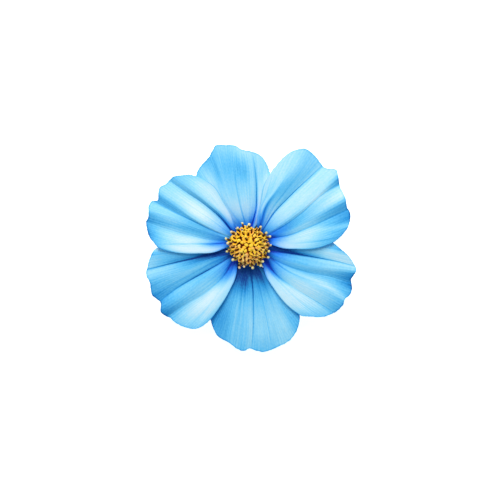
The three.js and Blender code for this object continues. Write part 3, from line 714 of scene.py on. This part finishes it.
def markRise(piece, low, high):
    # how far up the floret each point stands, from 0 in its throat to 1 at its tips; the disc's shades go
    # dark low down and light high up by it, painted shade and painted light
    rise = piece.data.attributes.new("rise", "FLOAT", "POINT")
    for vertex in piece.data.vertices:
        rise.data[vertex.index].value = clamp((vertex.co.z / mm - low) / (high - low))


floretForm = {
    "sunk": -1.0,
    "corollaRadius": 0.28,
    "corollaRings": [(1.0, 1.25), (0.6, 1.35), (0.4, 1.45), (0.15, 1.4), (-0.1, 1.25)],
    "corollaWall": 0.14,
    "budRadius": 0.36,
    "budRings": [(0.9, 1.5), (0.6, 1.35), (0.4, 0.95), (0.3, 0.62)],
    "columnRadius": 0.2,
    "columnRings": [(0.5, 1.25), (0.45, 0.95), (0.25, 0.7)],
    "knobRadius": 0.44,
    "knobRough": 0.3,
    "knobLumps": 2.2,
}


def makeCorolla():
    piece = startRing("corolla", 10, floretForm["corollaRadius"], floretForm["sunk"])
    growRings(floretForm["corollaRings"])
    bpy.ops.object.mode_set(mode="OBJECT")
    lobed(piece, 0.9, 0.5, 0.3)
    wall = piece.modifiers.new("wall", "SOLIDIFY")
    wall.thickness = floretForm["corollaWall"] * mm
    wall.offset = 0
    applyModifiers(piece)
    markRise(piece, 0.1, 1.1)
    return piece


def makeBud():
    piece = startRing("bud", 10, floretForm["budRadius"], floretForm["sunk"], "NGON")
    growRings(floretForm["budRings"])
    bpy.ops.mesh.merge(type="CENTER")
    finishRings()
    lobed(piece, 0.4, 0.66, 0.05)
    markRise(piece, -0.3, 1.1)
    return piece


def makeColumn():
    piece = startRing("anther_column", 6, floretForm["columnRadius"], 0, "NGON")
    growRings(floretForm["columnRings"])
    closeTop()
    markRise(piece, 0, 1.2)
    return piece


def makeKnob():
    deselectAll()
    bpy.ops.mesh.primitive_ico_sphere_add(subdivisions=2, radius=floretForm["knobRadius"] * mm)
    piece = bpy.context.active_object
    piece.name = "pollen_knob"
    for vertex in piece.data.vertices:
        lump = noise.noise(vertex.co / mm * floretForm["knobLumps"])
        vertex.co *= 1 + floretForm["knobRough"] * lump
    markRise(piece, -0.4, 0.4)
    return piece


def joinPieces(pieces, name):
    deselectAll()
    for piece in pieces:
        piece.select_set(True)
    bpy.context.view_layer.objects.active = pieces[0]
    bpy.ops.object.join()
    joined = bpy.context.active_object
    joined.name = name
    joined.data.name = name
    return joined


def copyAt(pattern, place, tint, warmth):
    twin = pattern.copy()
    twin.data = pattern.data.copy()
    bpy.context.scene.collection.objects.link(twin)
    twin.data.transform(place)
    for mark, value in (("tint", tint), ("warmth", warmth)):
        attribute = twin.data.attributes.new(mark, "FLOAT", "POINT")
        attribute.data.foreach_set("value", [value] * len(twin.data.vertices))
    return twin


discShades = {
    # how much height on the floret, its own tint and the grain weigh in its shade; height paints shade into
    # throats, undersides and low gaps and light onto tips and tops
    "weights": (0.75, 0.3, 0.5),
    "shift": -0.28,
    "floret": (
        [(168, 72, 6), (255, 164, 20), (255, 216, 54)],
        [(174, 70, 18), (250, 148, 58), (255, 206, 124)],
    ),
    "anther": ([(40, 14, 6), (72, 30, 12), (104, 52, 22)], [(48, 16, 8), (84, 36, 20), (112, 58, 32)]),
    "rimPollen": (
        [(176, 150, 84), (220, 200, 128), (240, 228, 168)],
        [(190, 140, 92), (226, 184, 132), (242, 216, 172)],
    ),
    "innerPollen": (
        [(196, 106, 14), (242, 166, 30), (255, 216, 76)],
        [(190, 98, 26), (234, 152, 60), (250, 204, 118)],
    ),
    # the disc floor: dark brown low down as painted shade in the gaps, golden higher up
    "floor": ([(64, 22, 4), (126, 56, 10), (200, 108, 22)], [(64, 22, 4), (126, 56, 10), (200, 108, 22)]),
}


def pollenMaterial(name, cool, warm, scale, roughness):
    # two rows of shades from throat to tip, painted shade low down and painted light at the tips, mixed
    # floret by floret, with a fine grain
    material = bpy.data.materials.new(name)
    material.use_nodes = True
    nodes, links = material.node_tree.nodes, material.node_tree.links
    skin = nodes["Principled BSDF"]
    skin.inputs["Roughness"].default_value = roughness
    skin.inputs["Specular IOR Level"].default_value = 0.3
    place = nodes.new("ShaderNodeTexCoord")
    grain = nodes.new("ShaderNodeTexNoise")
    grain.inputs["Scale"].default_value = scale
    links.new(place.outputs["Object"], grain.inputs["Vector"])
    parts = attributeOf(nodes, "rise"), attributeOf(nodes, "tint"), grain.outputs["Fac"]
    total = None
    for socket, weight in zip(parts, discShades["weights"]):
        term = nodes.new("ShaderNodeMath")
        term.operation = "MULTIPLY_ADD"
        term.inputs[1].default_value = weight
        term.inputs[2].default_value = discShades["shift"]
        links.new(socket, term.inputs[0])
        if total:
            links.new(total, term.inputs[2])
        total = term.outputs[0]
    mix = nodes.new("ShaderNodeMix")
    mix.data_type = "RGBA"
    links.new(attributeOf(nodes, "warmth"), mix.inputs[0])
    links.new(shadeRamp(material, total, cool), mix.inputs[6])
    links.new(shadeRamp(material, total, warm), mix.inputs[7])
    links.new(mix.outputs[2], skin.inputs["Base Color"])
    return material


def makeDisc():
    chance = random.Random(discForm["seed"])
    corolla, bud, column, knob = makeCorolla(), makeBud(), makeColumn(), makeKnob()
    corollas, columns, rimKnobs, innerKnobs = [], [], [], []
    for k in range(discForm["florets"]):
        share = math.sqrt((k + 0.5) / discForm["florets"])
        turn = math.radians(k * discForm["goldenAngle"])
        turn += chance.uniform(-0.4, 0.4) * discForm["stray"] / share
        radius = discForm["spread"] * share + chance.uniform(-1, 1) * discForm["stray"]
        x, y = axisX + radius * math.cos(turn), axisY + radius * math.sin(turn)
        root = Vector((x, y, discFloor(radius))) * mm
        leanStray = discForm["leanStray"]
        lean = math.radians(discForm["lean"] * share ** 2 + chance.uniform(-leanStray, leanStray))
        place = Matrix.Translation(root) @ Matrix.Rotation(turn, 4, "Z") @ Matrix.Rotation(lean, 4, "Y")
        spun = Matrix.Rotation(chance.uniform(0, tau), 4, "Z")
        tint, tall = chance.random(), chance.uniform(*discForm["height"])
        # the lower side of the disc holds more of the apricot florets
        warmth = chance.random() * discForm["warmSpread"] - discForm["warmShift"]
        warmth = clamp(warmth - discForm["warmBelow"] * math.sin(turn) * share)
        shut = chance.random() > discForm["openShare"]
        wide, deep = chance.uniform(*discForm["width"]), chance.uniform(*discForm["depth"])
        longish = Matrix.Diagonal((wide, deep, tall, 1))
        if share < discForm["budsWithin"] or shut and share < discForm["openBeyond"]:
            corollas.append(copyAt(bud, place @ longish @ spun, tint, warmth))
            continue
        onRim = share > discForm["rimBeyond"]
        sizes = discForm["rimColumn" if onRim else "innerColumn"]
        sunk = Matrix.Translation((0, 0, -discForm["rimSunk"] * mm if onRim else 0))
        corollas.append(copyAt(corolla, place @ sunk @ longish @ spun, tint, warmth))
        bend = blend(*discForm["columnLean"], share) + chance.uniform(-leanStray, leanStray)
        aside = math.radians(chance.uniform(-discForm["columnTurn"], discForm["columnTurn"]))
        base = Matrix.Translation((0, 0, sizes["base"] * mm))
        stem = place @ Matrix.Rotation(aside, 4, "Z") @ base @ Matrix.Rotation(math.radians(bend), 4, "Y")
        stretch, girth = chance.uniform(*sizes["stretch"]), chance.uniform(*sizes["girth"])
        columns.append(copyAt(column, stem @ Matrix.Diagonal((girth, girth, stretch, 1)), tint, warmth))
        top = stem @ Matrix.Translation((0, 0, (discForm["columnLength"] * stretch + 0.15) * mm)) @ spun
        size = Matrix.Scale(chance.uniform(*discForm["rimKnob" if onRim else "innerKnob"]), 4)
        if onRim:
            rimKnobs.append(copyAt(knob, top @ size, tint, warmth))
        elif chance.random() < discForm["knobShare"]:
            innerKnobs.append(copyAt(knob, top @ size, tint, warmth))
    for pattern in (corolla, bud, column, knob):
        bpy.data.objects.remove(pattern)
    core = makeCore()
    core.data.transform(Matrix.Translation(Vector((axisX, axisY, 0)) * mm))
    parts = [
        (core, "disc floor", "floor", 600, 0.8),
        (joinPieces(corollas, "disc_florets"), "golden floret", "floret", 1400, 0.55),
        (joinPieces(columns, "disc_anthers"), "dark anther", "anther", 1400, 0.5),
        (joinPieces(rimKnobs, "disc_rim_pollen"), "pale pollen", "rimPollen", 1600, 0.8),
        (joinPieces(innerKnobs, "disc_inner_pollen"), "amber pollen", "innerPollen", 1600, 0.8),
    ]
    for piece, finish, shades, grain, roughness in parts:
        dress(piece, pollenMaterial(finish, *discShades[shades], grain, roughness))
        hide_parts("disc")
        pickOnly(piece)
        bpy.ops.object.shade_smooth_by_angle(angle=math.radians(discForm["smoothBelow"]))


makeDisc()
print("disc made")


bractForm = {
    "count": 8,
    "innerTip": 9.3,
    "innerHalfWidth": 1.95,
    "outerRoot": 1.6,
    "outerTip": 11.4,
    "outerHalfWidth": 1.05,
    "resting": (0, 3, 5),
    "restingTip": 0.35,
    "liftedTip": 0.55,
    "tipStray": 0.35,
    "turnStray": 5,
    "ribs": 7,
    "columns": 28,
    "rows": 40,
    "inner": {"thickness": 0.4, "ribHeight": 0.05, "trough": 0.15},
    "outer": {"thickness": 0.6, "ribHeight": 0.04, "trough": 0.2},
    "hub": (3.4, 4.25, 0.6),
    "stubRadius": 1.2,
    "stubBase": 0.42,
    "stubRings": [(1.5, 1), (0.5, 1.35), (0.4, 1.45)],
    "cupRadius": 3.1,
    "liftedShort": 0.5,
    "smoothBelow": 40,
}

leafTints = {
    "inner": ((196, 206, 128), (170, 138, 74), (120, 116, 48)),
    "outer": ((96, 140, 62), (112, 158, 84), (70, 108, 48)),
    "veins": (16, 1.2, 1),
    "veinFrom": 0.45,
    "veinTo": 0.75,
    "veinShare": 0.6,
}


def curveOver(a, b, c, t):
    return (1 - t) ** 2 * a + 2 * t * (1 - t) * b + t * t * c


def makeBlade(name, turn, spine, halfWidth, sizes):
    columns, rows = bractForm["columns"], bractForm["rows"]
    deselectAll()
    bpy.ops.mesh.primitive_grid_add(x_subdivisions=columns, y_subdivisions=rows, size=1, calc_uvs=True)
    piece = bpy.context.active_object
    piece.name = name
    shade = piece.data.attributes.new("along", "FLOAT", "POINT")
    c, s = math.cos(turn), math.sin(turn)
    for vertex in piece.data.vertices:
        side = vertex.co.x * 2
        t = clamp(vertex.co.y + 0.5)
        radius, height = spine(t)
        half = halfWidth(t)
        rib = math.cos(side * math.pi * bractForm["ribs"] / 2) * math.sin(math.pi * t)
        lift = sizes["trough"] * side * side + sizes["ribHeight"] * rib
        across = -side * half
        x, y = axisX + radius * c - across * s, axisY + radius * s + across * c
        vertex.co = (x * mm, y * mm, (height + lift) * mm)
        shade.data[vertex.index].value = t
    wall = piece.modifiers.new("wall", "SOLIDIFY")
    wall.thickness = sizes["thickness"] * mm
    wall.offset = 0
    applyModifiers(piece)
    return piece


def leafMaterial(name, root, tip, vein, roughness, glowShare):
    material = bpy.data.materials.new(name)
    material.use_nodes = True
    nodes, links = material.node_tree.nodes, material.node_tree.links
    skin = nodes["Principled BSDF"]
    skin.inputs["Roughness"].default_value = roughness
    base = shadeRamp(material, attributeOf(nodes, "along"), (root, tip))
    uv = nodes.new("ShaderNodeUVMap")
    uv.uv_map = "UVMap"
    stretch = nodes.new("ShaderNodeMapping")
    stretch.inputs["Scale"].default_value = leafTints["veins"]
    links.new(uv.outputs["UV"], stretch.inputs["Vector"])
    streak = nodes.new("ShaderNodeTexNoise")
    streak.inputs["Scale"].default_value = 1
    links.new(stretch.outputs["Vector"], streak.inputs["Vector"])
    mix = nodes.new("ShaderNodeMix")
    mix.data_type = "RGBA"
    fac = nodes.new("ShaderNodeMapRange")
    fac.inputs["From Min"].default_value = leafTints["veinFrom"]
    fac.inputs["From Max"].default_value = leafTints["veinTo"]
    fac.inputs["To Max"].default_value = leafTints["veinShare"]
    links.new(streak.outputs["Fac"], fac.inputs["Value"])
    links.new(fac.outputs["Result"], mix.inputs["Factor"])
    links.new(base, mix.inputs[6])
    mix.inputs[7].default_value = srgb(*vein)
    links.new(mix.outputs[2], skin.inputs["Base Color"])
    if glowShare:
        glow = nodes.new("ShaderNodeBsdfTranslucent")
        links.new(mix.outputs[2], glow.inputs["Color"])
        both = nodes.new("ShaderNodeMixShader")
        both.inputs["Fac"].default_value = glowShare
        links.new(skin.outputs[0], both.inputs[1])
        links.new(glow.outputs[0], both.inputs[2])
        links.new(both.outputs[0], nodes["Material Output"].inputs["Surface"])
    return material


def makeInnerBracts():
    def spine(t):
        return curveOver(2.4, 6.35, bractForm["innerTip"], t), curveOver(4.55, 4.40, 4.25, t)

    def halfWidth(t):
        return bractForm["innerHalfWidth"] * math.sin(math.pi * blend(0.3, 0.98, t)) + 0.1

    blades = []
    for k in range(bractForm["count"]):
        turn = math.radians((k + 0.5) * 360 / bractForm["count"])
        blades.append(makeBlade("inner_bract", turn, spine, halfWidth, bractForm["inner"]))
    piece = joinPieces(blades, "inner_bract_blades")
    hubRadius, hubBase, hubHeight = bractForm["hub"]
    hub = startRing("inner_bract_hub", 32, hubRadius, hubBase, "NGON")
    growRings([(hubHeight, 1)])
    closeTop()
    hub.data.transform(Matrix.Translation(Vector((axisX, axisY, 0)) * mm))
    scale = leafMaterial("inner bract skin", *leafTints["inner"], 0.5, 0.2)
    for part in (piece, hub):
        dress(part, scale)
        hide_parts("inner_bracts")
        pickOnly(part)
        bpy.ops.object.shade_smooth_by_angle(angle=math.radians(bractForm["smoothBelow"]))


def makeOuterBracts():
    def halfWidth(t):
        return bractForm["outerHalfWidth"] * math.sin(math.pi * blend(0.26, 0.98, t)) + 0.1

    blades = []
    for k in range(bractForm["count"]):
        turn = math.radians(k * 360 / bractForm["count"] + bractForm["turnStray"] * math.sin(2.4 * k))
        resting = k in bractForm["resting"]
        reach, tip = bractForm["outerTip"], bractForm["restingTip"]
        if not resting:
            reach -= bractForm["liftedShort"]
            tip += bractForm["liftedTip"] + bractForm["tipStray"] * math.sin(3 * k)

        def spine(t, reach=reach, tip=tip):
            return curveOver(bractForm["outerRoot"], 6.5, reach, t), curveOver(2.9, 4.1, tip, t)

        blades.append(makeBlade("outer_bract", turn, spine, halfWidth, bractForm["outer"]))
    piece = joinPieces(blades, "outer_bract_blades")
    stalk = startRing("stalk_stub", 24, bractForm["stubRadius"], bractForm["stubBase"], "NGON")
    growRings(bractForm["stubRings"])
    neck = bractForm["stubRadius"] * math.prod(scale for up, scale in bractForm["stubRings"])
    growRings([(0.5, bractForm["cupRadius"] / neck), (0.55, 1)])
    closeTop()
    stalk.data.transform(Matrix.Translation(Vector((axisX, axisY, 0)) * mm))
    green = leafMaterial("green bract skin", *leafTints["outer"], 0.45, 0)
    for part in (piece, stalk):
        dress(part, green)
        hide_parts("stalk_and_outer_bracts")
        pickOnly(part)
        bpy.ops.object.shade_smooth_by_angle(angle=math.radians(bractForm["smoothBelow"]))


makeInnerBracts()
makeOuterBracts()
print("bracts made")


studio = {
    "width": 166.7,
    "middle": (-0.5, -0.5),
    "distance": 1.2,
    "flowerHeight": 0.008,
    "sensor": 36,
    "floorShade": (0.95, 0.95, 0.95, 1),
    "floorGlow": (1, 0.93, 0.89, 1),
    "floorGlowStrength": 0.72,
    "floorSize": 3,
    "floorRoughness": 0.9,
    "key": {
        "azimuth": 98, "elevation": 46, "distance": 1.2, "size": 0.9, "power": 15.8,
        "colour": (1, 0.95, 0.895),
    },
    "skyColour": (0.62, 0.86, 1, 1),
    "skyStrength": 0.54,
}

deselectAll()
bpy.ops.mesh.primitive_plane_add(size=studio["floorSize"], location=(0, 0, 0))
floor = bpy.context.active_object
floor.name = "floor"
paper = bpy.data.materials.new("white floor")
paper.use_nodes = True
paperSkin = paper.node_tree.nodes["Principled BSDF"]
paperSkin.inputs["Base Color"].default_value = studio["floorShade"]
paperSkin.inputs["Roughness"].default_value = studio["floorRoughness"]
paperSkin.inputs["Emission Color"].default_value = studio["floorGlow"]
paperSkin.inputs["Emission Strength"].default_value = studio["floorGlowStrength"]
floor.data.materials.append(paper)


def addLamp(name, azimuth, elevation, distance, size, power, colour):
    bpy.ops.object.light_add(type="AREA")
    lamp = bpy.context.active_object
    lamp.name = name
    a, e = math.radians(azimuth), math.radians(elevation)
    away = Vector((math.cos(a) * math.cos(e), math.sin(a) * math.cos(e), math.sin(e)))
    lamp.location = away * distance
    lamp.rotation_mode = "QUATERNION"
    lamp.rotation_quaternion = away.to_track_quat("Z", "Y")
    lamp.data.size = size
    lamp.data.energy = power
    lamp.data.color = colour
    return lamp


addLamp("key", **studio["key"])
world = bpy.data.worlds.new("studio")
bpy.context.scene.world = world
world.use_nodes = True
sky = world.node_tree.nodes["Background"]
sky.inputs["Color"].default_value = studio["skyColour"]
sky.inputs["Strength"].default_value = studio["skyStrength"]
bpy.context.scene.view_settings.view_transform = "Standard"

camera = bpy.data.objects.new("camera", bpy.data.cameras.new("camera"))
bpy.context.scene.collection.objects.link(camera)
camera.location = (studio["middle"][0] * mm, studio["middle"][1] * mm, studio["distance"])
camera.data.sensor_width = studio["sensor"]
camera.data.lens = studio["sensor"] * (studio["distance"] - studio["flowerHeight"]) / (studio["width"] * mm)
camera.data.clip_end = 10
bpy.context.scene.camera = camera
print("stage made")
